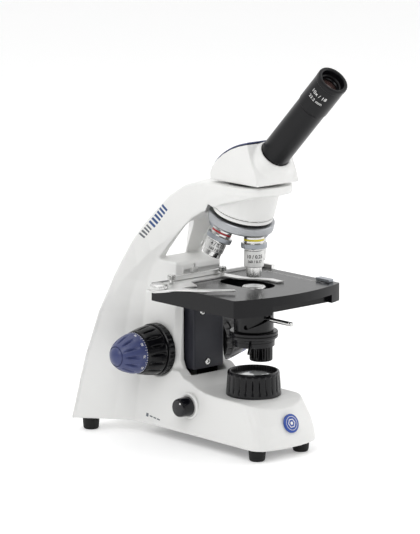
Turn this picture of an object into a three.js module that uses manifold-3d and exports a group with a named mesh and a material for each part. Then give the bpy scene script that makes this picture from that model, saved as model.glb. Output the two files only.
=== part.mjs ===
// Student monocular microscope, in millimetres, +Z up.
// Built about the optical axis (X = Y = 0 on the table), -Y towards the user, +X to the user's right,
// then shifted as a whole so that the origin is the middle of the bounding box's bottom face.
import * as THREE from 'three';
import { mergeVertices } from 'three/addons/utils/BufferGeometryUtils.js';
import Module from 'manifold-3d';

const wasm = await Module();
wasm.setup();

// ---- driving dimensions -------------------------------------------------------------------------
const GAP = 0.3; // clearance between neighbouring pieces
const FOOT_H = 11; // height of the rubber feet, and so of the casting's underside
const BASE_TOP = 51; // top of the base in front
const HOUSING_TOP = 164; // top of the focus housing
const ARM_TOP = 243.5; // top of the arm's head flange
const FLANGE_R = 34; // arm's head flange
const STAGE_TOP = 151;
const STAGE_UNDER = 135;
const STAGE_LEFT = -62.2;
const STAGE_RIGHT = 64.4;
const STAGE_FRONT = -55; // middle of the bowed front edge
const STAGE_BOW = 10.6; // how far the edge falls back 60 mm to the side
const STAGE_REAR = 69;
const OPENING_R = 15.5; // stage opening's end radius
const FOCUS_Y = 94; // focus knobs' axis
const FOCUS_Z = 82;
const KNOB_BACK = 31; // inner face of the knobs, from the middle
const SLOT_HALF = 21.5; // slot for the focus block
const SLOT_FLOOR = 44;
const SLOT_TOP = 157;
const BLOCK_HALF = 18.4;
const BLOCK_FRONT = 60;
const BLOCK_REAR = 80;
const BLOCK_FOOT = 65.3;
const RACK_PITCH = 3; // distance between rack teeth
const PINION_TEETH = 12;
const PINION_R = (RACK_PITCH * PINION_TEETH) / (2 * Math.PI);
const APEX_Z = 260; // where the turret axis meets the optical axis
const TURRET_TILT = 18; // degrees between turret axis and optical axis
const SHOULDER = 64; // objective shoulder, from the apex
const TURRET_R = 30;
const TUBE_TILT = 45; // degrees from upright
const TUBE_START = [0, -27.1, 272.9]; // where the tube leaves the head
const TUBE_R = 13.5;
const TUBE_LEN = 67.7;
const EYEPIECE_R = 14.2;
const EYEPIECE_LEN = 35.1;
const DISC = [-85, 32]; // pivot of the sprung slide finger
const XY_KNOBS = [45, 38.5]; // axis of the stage drive knobs
const ROUND = 28; // facets of a round piece
const SMALL_ROUND = 14; // facets of a thin pin or a screw

const DEG = Math.PI / 180;

// ---- materials ----------------------------------------------------------------------------------
const finish = (color, roughness, metalness) => (
  new THREE.MeshStandardMaterial({ color, roughness, metalness })
);
const WHITE = finish('#eeeeec', 0.4, 0);
const BLACK = finish('#1c1d20', 0.45, 0);
const CHARCOAL = finish('#35363b', 0.5, 0.1);
const RUBBER = finish('#161616', 0.8, 0);
const GLOSS_BLACK = finish('#101114', 0.25, 0);
const BLUE = finish('#3f4a7d', 0.4, 0);
const CHROME = finish('#c9cbcc', 0.18, 1);
const STEEL = finish('#a9abac', 0.35, 1);
const SATIN_GREY = finish('#9a9c9f', 0.4, 0.8);
const SILVER = finish('#d8d9d7', 0.3, 0.9);
const BRASS = finish('#b08d4b', 0.35, 1);
const GLASS = finish('#dfe8ea', 0.05, 0);

// ---- modelling helpers --------------------------------------------------------------------------
// Closed solid of a three.js geometry, with coincident corners joined and collapsed faces dropped.
function solid(geometry) {
  const bare = new THREE.BufferGeometry();
  bare.setAttribute('position', geometry.getAttribute('position'));
  if (geometry.index) bare.setIndex(geometry.index);
  const welded = mergeVertices(bare, 1e-4);
  const index = welded.index.array;
  const faces = [];
  for (let i = 0; i < index.length; i += 3) {
    const [a, b, c] = [index[i], index[i + 1], index[i + 2]];
    if (a !== b && b !== c && c !== a) faces.push(a, b, c);
  }
  const mesh = new wasm.Mesh({
    numProp: 3,
    vertProperties: new Float32Array(welded.getAttribute('position').array),
    triVerts: new Uint32Array(faces),
  });
  return new wasm.Manifold(mesh);
}

function geometryOf(body) {
  const mesh = body.getMesh();
  const geometry = new THREE.BufferGeometry();
  geometry.setAttribute('position', new THREE.BufferAttribute(new Float32Array(mesh.vertProperties), 3));
  geometry.setIndex(new THREE.BufferAttribute(new Uint32Array(mesh.triVerts), 1));
  return geometry;
}

const moved = (body, matrix) => solid(geometryOf(body).applyMatrix4(matrix));
const shift = (x, y, z) => new THREE.Matrix4().makeTranslation(x, y, z);
const turnX = (degrees) => new THREE.Matrix4().makeRotationX(degrees * DEG);
const turnY = (degrees) => new THREE.Matrix4().makeRotationY(degrees * DEG);
const turnZ = (degrees) => new THREE.Matrix4().makeRotationZ(degrees * DEG);
const chain = (...steps) => steps.reduce((all, step) => all.clone().multiply(step), new THREE.Matrix4());

function box(x0, x1, y0, y1, z0, z1) {
  const geometry = new THREE.BoxGeometry(x1 - x0, y1 - y0, z1 - z0);
  geometry.translate((x0 + x1) / 2, (y0 + y1) / 2, (z0 + z1) / 2);
  return solid(geometry);
}

// Body of revolution about Z from [radius, z] pairs.
function turned(profile, facets = ROUND) {
  const points = profile.map(([r, z]) => new THREE.Vector2(r, z));
  const geometry = new THREE.LatheGeometry(points, facets);
  geometry.rotateX(Math.PI / 2);
  const body = solid(geometry);
  if (body.volume() > 0) return body;
  const flipped = geometry.index.array.slice().reverse();
  geometry.setIndex(new THREE.BufferAttribute(flipped, 1));
  return solid(geometry);
}

const rod = (radius, z0, z1, facets = ROUND) =>
  turned([[0, z0], [radius, z0], [radius, z1], [0, z1]], facets);
const ring = (outer, inner, z0, z1, facets = ROUND) =>
  turned([[inner, z0], [outer, z0], [outer, z1], [inner, z1], [inner, z0]], facets);

// Flat outline in plan, given an up-and-down thickness.
function plate(outline, z0, z1) {
  const shape = new THREE.Shape(outline.map(([x, y]) => new THREE.Vector2(x, y)));
  const geometry = new THREE.ExtrudeGeometry(shape, { depth: z1 - z0, bevelEnabled: false });
  geometry.translate(0, 0, z0);
  return solid(geometry);
}

// Side outline of [y, z] pairs, given a width from x0 to x1.
function sidePlate(outline, x0, x1) {
  const upright = chain(shift(x0, 0, 0), turnZ(90), turnX(90));
  return moved(plate(outline, 0, x1 - x0), upright);
}

// Outline with each corner replaced by an arc of the given radius.
function rounded(outline, radius, steps = 3) {
  const result = [];
  outline.forEach((corner, i) => {
    const here = new THREE.Vector2(...corner);
    const before = new THREE.Vector2(...outline[(i + outline.length - 1) % outline.length]);
    const after = new THREE.Vector2(...outline[(i + 1) % outline.length]);
    const reach = Math.min(radius, here.distanceTo(before) / 2.01, here.distanceTo(after) / 2.01);
    const start = here.clone().add(before.sub(here).setLength(reach));
    const end = here.clone().add(after.sub(here).setLength(reach));
    for (let k = 0; k <= steps; k += 1) {
      const t = k / steps;
      const p = start.clone().multiplyScalar((1 - t) ** 2);
      p.addScaledVector(here, 2 * t * (1 - t));
      p.addScaledVector(end, t * t);
      result.push([p.x, p.y]);
    }
  });
  return result;
}

// Skin over rings of equally many points, closed by a fan at either end.
function loft(sections) {
  const count = sections[0].length;
  const positions = sections.flat(2);
  const middles = [sections[0], sections[sections.length - 1]].map((section) =>
    [0, 1, 2].map((axis) => section.reduce((sum, point) => sum + point[axis], 0) / count));
  positions.push(...middles.flat());
  const index = [];
  for (let s = 0; s + 1 < sections.length; s += 1) {
    for (let i = 0; i < count; i += 1) {
      const j = (i + 1) % count;
      const [a, b, c, d] = [s * count + i, s * count + j, (s + 1) * count + j, (s + 1) * count + i];
      index.push(a, b, c, a, c, d);
    }
  }
  const first = sections.length * count;
  const last = (sections.length - 1) * count;
  for (let i = 0; i < count; i += 1) {
    const j = (i + 1) % count;
    index.push(first, j, i);
    index.push(first + 1, last + i, last + j);
  }
  const geometry = new THREE.BufferGeometry();
  geometry.setAttribute('position', new THREE.BufferAttribute(new Float32Array(positions), 3));
  geometry.setIndex(index);
  const body = solid(geometry);
  if (body.volume() > 0) return body;
  geometry.setIndex(index.slice().reverse());
  return solid(geometry);
}

const between = (value, table, column) => {
  let k = 0;
  while (k + 2 < table.length && value > table[k + 1][0]) k += 1;
  const [low, high] = [table[k], table[k + 1]];
  const t = (value - low[0]) / (high[0] - low[0]);
  return low[column] + t * (high[column] - low[column]);
};

const joined = (bodies) => bodies.reduce((all, body) => all.add(body));
const cut = (body, tools) => tools.reduce((rest, tool) => rest.subtract(tool), body);

const group = new THREE.Group();
group.name = 'microscope';

function piece(name, body, material) {
  const mesh = new THREE.Mesh(geometryOf(body), material);
  mesh.geometry.computeVertexNormals();
  mesh.name = name;
  group.add(mesh);
}

// Axis frames of the tilted assemblies.
const TURRET = chain(shift(0, 0, APEX_Z), turnX(TURRET_TILT));
const TUBE = chain(shift(...TUBE_START), turnX(TUBE_TILT));
const FOCUS_LEFT = chain(shift(-KNOB_BACK, FOCUS_Y, FOCUS_Z), turnY(-90));
const FOCUS_RIGHT = chain(shift(KNOB_BACK, FOCUS_Y, FOCUS_Z), turnY(90));
const seat = (place) => chain(TURRET, turnZ(place * 90), turnX(-TURRET_TILT));

// ---- stand casting ------------------------------------------------------------------------------
// Half width of base and housing at each height.
const SIDES = [[11, 39], [49, 34.7], [82, 31], [110, 29], [122, 28], [164, 27]];
// Height, half width and y of the legs' rear edge, then half width and y of the front crease.
// Last two: how far along the flank, and how far out, its soft ridge lies.
const LEGS = [
  [11, 77, 168, 39, 117, 0.06, 75.4],
  [27, 74.6, 165, 37.2, 117, 0.07, 72.8],
  [49, 71, 162.2, 34.7, 117, 0.07, 69.2],
  [71, 67, 158.8, 32.2, 117, 0.08, 65],
  [94, 62.8, 152.6, 30, 117, 0.1, 60.4],
  [112, 58.6, 149.2, 28.8, 117, 0.12, 56.2],
];
// Rear edge y, z, half width; crease y, z, half width; ridge position and half width.
const ARM = [
  [142.6, 130, 54, 117, 124, 28, 0.24, 49.4],
  [137, 146, 50, 113.5, 141, 27.3, 0.38, 44],
  [130.4, 162, 45.6, 106.5, 154, 26.8, 0.56, 37.2],
  [123, 180, 39.6, 97, 167.5, 26.3, 0.72, 31.6],
  [113.6, 196, 33.6, 86.5, 179, 25.8, 0.84, 28],
  [101.4, 210.5, 29.2, 76.5, 189, 25.4, 0.92, 26],
  [86, 225, 26.8, 66, 198.5, 25, 0.95, 25.4],
  [67, 236.2, 26.4, 55, 207.5, 24.8, 0.9, 25.4],
  [47, 242.3, 27.2, 42, 214.5, 25.6, 0.8, 26.4],
  [25, ARM_TOP, 30, 24, 221.6, 28, 0.6, 30],
  [6, ARM_TOP, 33.2, 6, 227, 31.5, 0.5, 33.2],
  [-8, ARM_TOP, 33, -8, 231, 31.6, 0.5, 33],
  [-20, ARM_TOP, 27.6, -20, 234, 26.4, 0.5, 27.6],
  [-29, ARM_TOP, 17.8, -29, 236, 16.8, 0.5, 17.8],
];

function flank(section) {
  const mirrored = section.slice(1, -1).reverse().map(([x, t]) => [-x, t]);
  return [...section, ...mirrored];
}

function legSection([z, rear, rearY, crease, creaseY, at, shoulder]) {
  const y = (t) => rearY + t * (creaseY - rearY);
  const hollow = 0.62;
  const inner = crease + (shoulder - crease) * 0.33;
  return flank([
    [0, y(-0.03)], [rear * 0.5, y(-0.02)], [rear - 5, y(0)], [rear - 1.2, y(0.03)], [rear, y(0.09)],
    [shoulder, y(at)], [inner, y(hollow)], [crease, y(1)], [crease * 0.6, y(1.02)], [0, y(1.02)],
  ]).map(([x, yy]) => [x, yy, z]);
}

function armSection([rearY, rearZ, rear, creaseY, creaseZ, crease, at, shoulder]) {
  const y = (t) => rearY + t * (creaseY - rearY);
  const z = (t) => rearZ + t * (creaseZ - rearZ);
  const inner = crease + (shoulder - crease) * 0.4;
  const hollow = at + (1 - at) * 0.5;
  return flank([
    [0, -0.04], [rear * 0.5, -0.03], [rear - 5, 0], [rear - 1.2, 0.03], [rear, 0.1],
    [shoulder, at], [inner, hollow], [crease, 1], [crease * 0.6, 1], [0, 1],
  ]).map(([x, t]) => [x, y(t), z(t)]);
}

const wishbone = () => loft([...LEGS.map(legSection), ...ARM.map(armSection)]);

// Base and focus housing, as plan sections cut to the side outline.
function baseAndHousing() {
  const nose = (z) => between(z, [[11, -52.5], [20, -52], [28, -50.3], [36, -47], [44, -41], [60, -32]], 1);
  const sections = [11, 12.2, 22, 32, 42, 52, 62, 82, 110, 122, 164].map((z) => {
    const half = between(z, SIDES, 1) - (z === 11 ? 1 : 0);
    const front = nose(Math.min(z, 60)) + (z === 11 ? 1 : 0);
    return flank([
      [0, 119], [half * 0.7, 119], [half, 117], [half, 60], [half, 10], [half, front + 19],
      [half - 0.8, front + 13], [half - 3.4, front + 8.4], [half - 8, front + 4.8], [half - 15, front + 2.2],
      [half * 0.3, front + 0.5], [0, front],
    ]).map(([x, y]) => [x, y, z]);
  });
  const outline = [
    [-60, 11], [-60, 44], [-41, 44.6], [-36, 47.4], [-30, 49.6], [-22, 50.9], [16, BASE_TOP], [28, 52],
    [38, 54.2], [48, 57.8], [BLOCK_FRONT - 0.8, 61.2], [66, 66.5], [69.5, 74], [70, 84],
    [70, 158], [71.5, 162], [75, HOUSING_TOP], [108, HOUSING_TOP], [112, 150], [117, 140], [121, 11],
  ];
  return loft(sections).intersect(sidePlate(outline, -80, 80));
}

// Long edges of base and housing, taken down to a soft round.
function housingCorners() {
  const tools = [];
  for (const side of [-1, 1]) {
    for (const [inset, reach] of [[3.2, 8], [1.2, 4.4]]) {
      const edge = loft([66, 82, 110, 122, 170].map((z) => {
        const half = between(Math.min(z, 164), SIDES, 1);
        return [
          [side * (half - reach), 60, z], [side * (half + 6), 60, z],
          [side * (half + 6), 70 + reach + 8 - inset, z], [side * (half - 0.01), 70 + reach - inset, z],
          [side * (half - reach + inset), 70 + 0.4 * inset, z],
        ];
      }));
      tools.push(edge);
    }
  }
  return tools;
}

// A-shaped window between the legs, its splayed front and the hollow behind the housing.
function legWindow() {
  const rows = [
    [HOUSING_TOP, 26.4, 95, 12.6, 105.8, 31, 124.5],
    [172, 26, 90, 10.6, 101.5, 28, 119.5],
    [182, 25.6, 82, 8.2, 94.8, 24, 112.5],
    [192, 25, 73, 5.4, 88, 18.6, 105],
    [199, 24.5, 66.5, 2.6, 83, 13.6, 98.5],
    [204, 24, 62, 0.4, 79.5, 8, 91],
  ];
  const opening = loft(rows.map(([z, crease, creaseY, gap, gapY, out, outY]) => [
    [-crease, creaseY - 9, z], [-crease + 1.6, creaseY + 1, z], [-gap, gapY, z], [-out, outY, z],
    [-out - 14, outY + 24, z], [out + 14, outY + 24, z],
    [out, outY, z], [gap, gapY, z], [crease - 1.6, creaseY + 1, z], [crease, creaseY - 9, z],
  ]));
  const hollow = loft([
    [24, 26, 125, 54, 163], [60, 22, 122, 50, 158.5], [100, 18, 118, 45, 150.5],
    [140, 14.6, 112, 36.6, 137.5],
    [HOUSING_TOP + 1, 12.7, 106, 31, 124.5],
  ].map(([z, gap, gapY, out, outY]) => [
    [-gap, gapY, z], [-out, outY, z], [-out - 16, outY + 26, z],
    [out + 16, outY + 26, z], [out, outY, z], [gap, gapY, z],
  ]));
  return opening.add(hollow);
}

// Room the turning objectives sweep through.
const objectiveSweep = () => moved(turned([
  [0, -108], [41, -108], [41, -69], [36, -62], [33, -59], [33, -44.2], [0, -44.2],
], 48), TURRET);

function circle(radius, frame, count = 40) {
  const points = [];
  for (let k = 0; k < count; k += 1) {
    const a = (2 * Math.PI * k) / count;
    const point = new THREE.Vector3(radius * Math.cos(a), radius * Math.sin(a), 0).applyMatrix4(frame);
    points.push(point.toArray());
  }
  return points;
}

// Oblique cone from the arm's flange down to the turret's seat.
function headCone() {
  const foot = chain(TURRET, shift(0, 0, -44));
  const collar = chain(TURRET, shift(0, 0, -42));
  const cone = loft([circle(27.6, foot), circle(28, collar), circle(26.6, shift(0, 4, 239))]);
  const flange = turned([
    [0, 236], [33.2, 236], [FLANGE_R, 237], [FLANGE_R, 242.8], [33.3, ARM_TOP], [0, ARM_TOP],
  ], 40);
  return cone.add(flange);
}

function stand() {
  const shell = joined([
    cut(wishbone(), [legWindow()]),
    cut(baseAndHousing(), housingCorners()),
  ]);
  const scooped = cut(shell, [objectiveSweep()]).add(headCone());
  const focusBore = moved(rod(6, -40, 40), chain(shift(0, FOCUS_Y, FOCUS_Z), turnY(90)));
  const spot = (frame) => moved(rod(25, 0, 14), frame);
  const badgeSeat = moved(rod(9, -1, 8), BADGE);
  const slot = box(-SLOT_HALF, SLOT_HALF, 40, 82.5, SLOT_FLOOR, SLOT_TOP);
  const slotMouth = BLOCK_FRONT - 0.8;
  const ramp = sidePlate([[slotMouth, 30], [slotMouth, 170], [90, 170], [90, 30]], -SLOT_HALF, SLOT_HALF);
  return cut(scooped, [
    slot.intersect(ramp),
    box(-9, 9, 82, 103, SLOT_FLOOR, 125),
    focusBore,
    spot(FOCUS_LEFT),
    spot(FOCUS_RIGHT),
    badgeSeat,
    box(-29, 29, -34, 112, 10, 38),
    rod(17, 37, 60),
    rod(11, 195, 250),
    rod(25.4, BASE_TOP + 0.1, 70),
    box(-60, 60, -60, 200, ARM_TOP, 260),
    moved(rod(3.4, -14, 14, SMALL_ROUND), chain(shift(-34, 46, 37.5), turnY(90))),
    moved(rod(12.3, 0, 10), chain(shift(-36.1, 46, 37.5), turnY(-90))),
    moved(rod(4.2, -10, 12, 24), chain(shift(0, 122, 45), turnX(-90))),
  ]);
}

const BADGE = chain(shift(0, -49.1, 32.5), turnX(90 - 20));

function standPieces() {
  piece('stand', stand(), WHITE);
  const cover = rounded([[-28.7, -33.7], [28.7, -33.7], [28.7, 111.7], [-28.7, 111.7]], 4);
  piece('base_plate', plate(cover, 11.3, 13), BLACK);
  const footPlaces = { foot_front_left: [-26.8, -33.7], foot_front_right: [26.8, -33.7],
    foot_rear_left: [-59.5, 157.5], foot_rear_right: [59.5, 157.5] };
  for (const [name, [x, y]] of Object.entries(footPlaces)) {
    const foot = turned([[0, 0], [6.6, 0], [7.4, 1.4], [7.9, FOOT_H - GAP], [0, FOOT_H - GAP]], 20);
    piece(name, moved(foot, shift(x, y, 0)), RUBBER);
  }
  piece('badge', moved(turned([[0, -0.7], [8.6, -0.7], [8.6, 0.5], [8, 1], [0, 1]], 28), BADGE), BLUE);
  const dial = chain(shift(-36.4, 46, 37.5), turnY(-90));
  const collar = turned([[4, 0], [12, 0], [12, 0.8], [11.2, 1.8], [4, 1.8], [4, 0]], 24);
  piece('dial_collar', moved(collar, dial), WHITE);
  const knob = turned([[0, -9], [3, -9], [3, 2.2], [9, 2.2], [9, 13.6], [8, 14.6], [0, 14.6]], 24);
  piece('brightness_knob', moved(knob, dial), GLOSS_BLACK);
  const jack = chain(shift(0, 123.6, 45), turnX(-90));
  const socket = turned([
    [0, -8], [3.9, -8], [3.9, 1], [7, 1], [7, 3.4], [3, 3.4], [3, -4], [0, -4], [0, -8],
  ], 16);
  piece('dc_inlet', moved(socket, jack), BLACK);
  piece('illuminator_ring', turned([
    [18.9, 51.4], [25, 51.4], [25, 53], [23.6, 71.6], [22.6, 73], [20.4, 73], [18.9, 70], [18.9, 51.4],
  ], 32), BLACK);
  piece('field_lens', turned([[0, 60.4], [18.5, 60.4], [18.5, 66], [9, 68.6], [0, 69.4]], 28), GLASS);
  const holder = [[0, 41], [16.4, 41], [16.4, 53], [18.4, 53], [18.4, 60], [0, 58]];
  piece('lamp_holder', turned(holder, 24), STEEL);
}

// ---- focus drive --------------------------------------------------------------------------------
function rackTeeth() {
  const pitchLine = FOCUS_Y - PINION_R;
  const outline = [[BLOCK_REAR + 0.3, 66], [BLOCK_REAR + 0.3, 111]];
  const count = Math.floor((111 - 67) / RACK_PITCH);
  const first = FOCUS_Z - RACK_PITCH * 5;
  for (let k = count - 1; k >= 0; k -= 1) {
    const middle = first + k * RACK_PITCH;
    outline.push([pitchLine - 1.05, middle + 0.85], [pitchLine + 0.75, middle + 0.3]);
    outline.push([pitchLine + 0.75, middle - 0.3], [pitchLine - 1.05, middle - 0.85]);
  }
  return sidePlate(outline, -3.5, 3.5);
}

function pinionTeeth() {
  const outline = [];
  for (let k = 0; k < PINION_TEETH; k += 1) {
    const middle = Math.PI + ((k + 0.5) * 2 * Math.PI) / PINION_TEETH;
    for (const [radius, half] of [[PINION_R - 1.05, 0.85], [PINION_R + 0.7, 0.3]]) {
      outline.push([radius, middle - half / radius]);
    }
    for (const [radius, half] of [[PINION_R + 0.7, 0.3], [PINION_R - 1.05, 0.85]]) {
      outline.push([radius, middle + half / radius]);
    }
  }
  const points = outline.map(([r, a]) => [FOCUS_Y + r * Math.cos(a), FOCUS_Z + r * Math.sin(a)]);
  return sidePlate(points, -4.5, 4.5);
}

function focusPieces() {
  const walls = joined([
    box(-21.2, -18.8, 72, 82.2, 46, 155),
    box(18.8, 21.2, 72, 82.2, 46, 155),
    box(-21.2, 21.2, 80.4, 82.2, 136, 155),
    box(-21.2, 21.2, 80.4, 82.2, SLOT_FLOOR + GAP, 46.6),
    box(-21.2, -5, 80.4, 82.2, 46, 155),
    box(5, 21.2, 80.4, 82.2, 46, 155),
  ]);
  piece('focus_guide', walls, STEEL);
  const block = plate(rounded([
    [-BLOCK_HALF, BLOCK_FRONT], [BLOCK_HALF, BLOCK_FRONT],
    [BLOCK_HALF, BLOCK_REAR], [-BLOCK_HALF, BLOCK_REAR],
  ], 2), BLOCK_FOOT, STAGE_UNDER - GAP);
  const screwPlaces = { block_screw_upper: [-7.6, 118.6], block_screw_lower: [-1.6, 71] };
  const screwFrame = ([x, z]) => chain(shift(x, BLOCK_FRONT, z), turnX(90));
  const counterbore = rod(3.4, -1.4, 1);
  const counterbores = Object.values(screwPlaces).map((place) => moved(counterbore, screwFrame(place)));
  piece('focus_block', cut(block, counterbores), CHARCOAL);
  piece('rack', rackTeeth(), BRASS);
  const across = chain(shift(0, FOCUS_Y, FOCUS_Z), turnY(90));
  const hub = moved(rod(4.6, -KNOB_BACK - 22, KNOB_BACK + 22, 24), across);
  const shaftBore = moved(rod(2.6, -90, 90, 24), across);
  piece('pinion_shaft', hub.add(pinionTeeth()).subtract(shaftBore), STEEL);
  piece('fine_shaft', moved(rod(2.3, -70, 70, 24), across), STEEL);
  for (const [side, frame] of [['left', FOCUS_LEFT], ['right', FOCUS_RIGHT]]) {
    piece(`tension_ring_${side}`, moved(turned([
      [5, GAP], [24, GAP], [24, 8], [5, 8], [5, GAP],
    ], 30), frame), BLACK);
    piece(`coarse_knob_${side}`, moved(turned([
      [4.9, 8.4], [22.8, 8.4], [22.2, 16], [19.4, 28.2], [4.9, 28.2], [4.9, 8.4],
    ], 30), frame), GLOSS_BLACK);
    piece(`fine_knob_${side}`, moved(turned([
      [2.4, 28.6], [18.8, 28.6], [18.9, 31], [17.6, 37.5], [14, 46.5], [7.6, 53.4],
      [3.8, 55.6], [0, 56.2], [0, 46], [2.4, 46], [2.4, 28.6],
    ], 30), frame), BLUE);
  }
  const screwHead = [[0, -1.1], [3.1, -1.1], [3.1, 0.1], [2.7, 0.5], [1.5, 0.5], [1.5, -0.5], [0, -0.5]];
  for (const [name, place] of Object.entries(screwPlaces)) {
    piece(name, moved(turned(screwHead, SMALL_ROUND), screwFrame(place)), CHROME);
  }
}

// ---- stage, condenser and slide mover -----------------------------------------------------------
function stagePlate() {
  const outline = [];
  const strips = 14;
  for (let k = 0; k <= strips; k += 1) {
    const x = STAGE_LEFT + ((STAGE_RIGHT - STAGE_LEFT) * k) / strips;
    outline.push([x, STAGE_FRONT + STAGE_BOW * ((x - 4) / 60) ** 2]);
  }
  outline.push(
    [STAGE_RIGHT, STAGE_REAR], [30, STAGE_REAR], [30, 62.4], [BLOCK_HALF, 62.4],
    [BLOCK_HALF, 79.6], [-BLOCK_HALF, 79.6], [-BLOCK_HALF, 62.4], [-30, 62.4], [-30, STAGE_REAR],
    [STAGE_LEFT, STAGE_REAR],
  );
  const opening = [];
  for (let k = 0; k <= 12; k += 1) {
    const a = Math.PI + (k * Math.PI) / 12;
    opening.push([OPENING_R * Math.cos(a), -5 + OPENING_R * Math.sin(a)]);
  }
  for (let k = 0; k <= 12; k += 1) {
    const a = (k * Math.PI) / 12;
    opening.push([OPENING_R * Math.cos(a), 22 + OPENING_R * Math.sin(a)]);
  }
  const pocket = rounded([[-58, -40], [58, -40], [58, 58], [-58, 58]], 6);
  const core = rounded([[-26, -30], [26, -30], [26, 70], [-26, 70]], 6);
  const island = plate(core, STAGE_UNDER - 2, STAGE_TOP);
  const hollow = plate(pocket, STAGE_UNDER - 1, STAGE_TOP - 4).subtract(island);
  const notch = box(-26, 50, STAGE_FRONT - 5, -43.6, STAGE_UNDER - 1, STAGE_UNDER + 7.5);
  const under = plate(opening, STAGE_UNDER - 1, STAGE_TOP + 1);
  const bore = rod(18.3, STAGE_UNDER - 1, STAGE_TOP - 3.5);
  return cut(plate(rounded(outline, 1.6, 2), STAGE_UNDER, STAGE_TOP), [hollow, notch, under, bore]);
}

// Sleeve with a helical slot that the condenser's lever runs in.
function condenserSleeve() {
  const wall = ring(18, 15.4, 110.4, 147);
  const slots = [];
  for (let k = -1; k <= 9; k += 1) {
    const turn = (63 * Math.min(k, 8.4)) / 8;
    const drop = (7 * turn) / 63;
    const window = moved(rod(2.1, 0, 24, 12), chain(turnZ(-turn), shift(0, 0, 122.6 - drop), turnX(90)));
    slots.push(window);
  }
  return cut(wall, slots);
}

function stagePieces() {
  piece('stage_plate', stagePlate(), BLACK);
  piece('condenser_sleeve', condenserSleeve(), BLACK);
  piece('condenser_barrel', ring(15.1, 11.4, 103.4, 146), BLACK);
  piece('condenser_lens', turned([
    [0, 138], [11.1, 138], [11.1, 148.6], [10.2, 150.2], [7.8, 150.2], [4.5, 150.9], [0, 151.2],
  ], 24), GLASS);
  piece('condenser_lever', moved(rod(1.5, 15.4, 50, 16), chain(shift(0, 0, 122.6), turnX(90))), CHROME);
  piece('iris_housing', turned([
    [15.5, 103.4], [21.4, 103.4], [22, 104], [22, 109.4], [21.4, 110], [15.5, 110], [15.5, 103.4],
  ], 28), BLACK);
  const pin = moved(rod(1.1, -1.2, 12.5, 12), chain(turnZ(-52), shift(0, -19.9, 101.6), turnX(128)));
  piece('iris_lever', ring(19.4, 12, 101, 103).add(pin), BLACK);
  const tray = ring(19, 16.2, 96.4, 100.6);
  const lug = rod(4.4, 96.4, 100.6, 20);
  const lugPlace = shift(16.4, 14, 0);
  const pivotBore = moved(rod(1.8, 90, 108, 16), lugPlace);
  piece('filter_tray', cut(tray.add(moved(lug, lugPlace).subtract(rod(16.3, 90, 108))), [pivotBore])
    .add(ring(17, 15, 96.4, 97.4)), BLACK);
  const pivot = turned([[0, 95], [3, 95], [3, 96.1], [1.5, 96.1], [1.5, 100.7], [0, 100.7]], 16);
  piece('tray_pivot', moved(pivot, lugPlace), STEEL);
  piece('filter_glass', rod(15.8, 97.7, 99.4), GLASS);
  const vernier = rounded([[55, -39], [62, -39], [62, -22], [55, -22]], 1.2);
  piece('vernier_block', plate(vernier, STAGE_TOP + GAP, 154), BLACK);
  piece('stop_screw', moved(turned([
    [0, STAGE_TOP + GAP], [1.9, STAGE_TOP + GAP], [1.9, 155.6], [3.3, 156], [3.3, 159.2],
    [2.8, 159.7], [1.2, 159.7], [1.2, 164], [0, 164],
  ], SMALL_ROUND), shift(-14.5, 63.9, 0)), STEEL);
}

function knurledKnob(radius, z0, z1, bore) {
  const points = [];
  const ribs = 16;
  for (let k = 0; k < ribs * 2; k += 1) {
    const a = (k * Math.PI) / ribs;
    const r = k % 2 ? radius : radius - 0.8;
    points.push([r * Math.cos(a), r * Math.sin(a)]);
  }
  const body = plate(points, z0, z1);
  return bore ? body.subtract(rod(bore, z0 - 1, z1 + 1, 20)) : body;
}

function thumbScrew(x, y) {
  const head = knurledKnob(3.6, 155.6, 160.2, 0);
  return moved(head.add(rod(1.8, 152.9, 156, 16)), shift(x, y, 0));
}

function slideMoverPieces() {
  const low = STAGE_TOP + 0.35;
  const rail = joined([
    box(-44, 69, 57.4, 60.4, 151.6, 154.2),
    box(64.8, 69, 46, 60.4, 141, 154.2),
  ]);
  piece('x_rail', rail, STEEL);
  piece('slide_bar', box(-47, 9, 53.4, 56.9, 152.9, 157), SILVER);
  const arm = plate([
    [-60, 43], [1, 43], [3, 40], [5, 27], [20, 2], [20, -9], [26.5, -11], [27.5, 4],
    [14, 28], [12, 56.8], [-60, 56.8],
  ], low, 152.6);
  const base = plate(rounded([
    [-60.2, 47], [-37.4, 47], [-37.4, 43.5], [-45, 25], [-60, 27], [-78, 24],
    [-92, 30], [-92, 42], [-80, 41.4], [-66, 42],
  ], 2.5), low, 152.6);
  piece('slide_holder', cut(arm.add(base), [moved(rod(1.9, 140, 170, 16), shift(...DISC, 0))]), SILVER);
  const finger = plate(rounded([
    [-92.5, 34], [-88, 42.5], [-82, 41], [-78, 33], [-66, 17], [-52, -1],
    [-38, -15.5], [-38.6, -19], [-44, -17.4],
    [-58, -4], [-73.4, 14.4], [-84, 24], [-91, 26.4],
  ], 1.8), 152.95, 154.3);
  piece('slide_finger', cut(finger, [moved(rod(1.9, 140, 170, 16), shift(...DISC, 0))]), SILVER);
  piece('finger_cap', moved(turned([
    [0, 150.8 + 0.6], [1.6, 151.4], [1.6, 154.6], [8.2, 154.6], [8.3, 156.4], [7.2, 158.4], [0, 159.4],
  ], 28), shift(...DISC, 0)), CHROME);
  piece('thumb_screw_left', thumbScrew(-54.7, 49.5), CHROME);
  piece('thumb_screw_right', thumbScrew(6.9, 49.3), CHROME);
  const knobs = shift(...XY_KNOBS, 0);
  piece('knob_post', moved(rod(2.4, 72, STAGE_TOP - 4.4, 20), knobs), STEEL);
  piece('x_knob', moved(knurledKnob(10.7, 69, 84, 0).subtract(rod(2.7, 71.7, 90, 20)), knobs), BLACK);
  piece('y_knob', moved(knurledKnob(12.6, 84.4, 96, 2.7).add(ring(7, 2.7, 95, 130)), knobs), BLACK);
}

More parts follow.
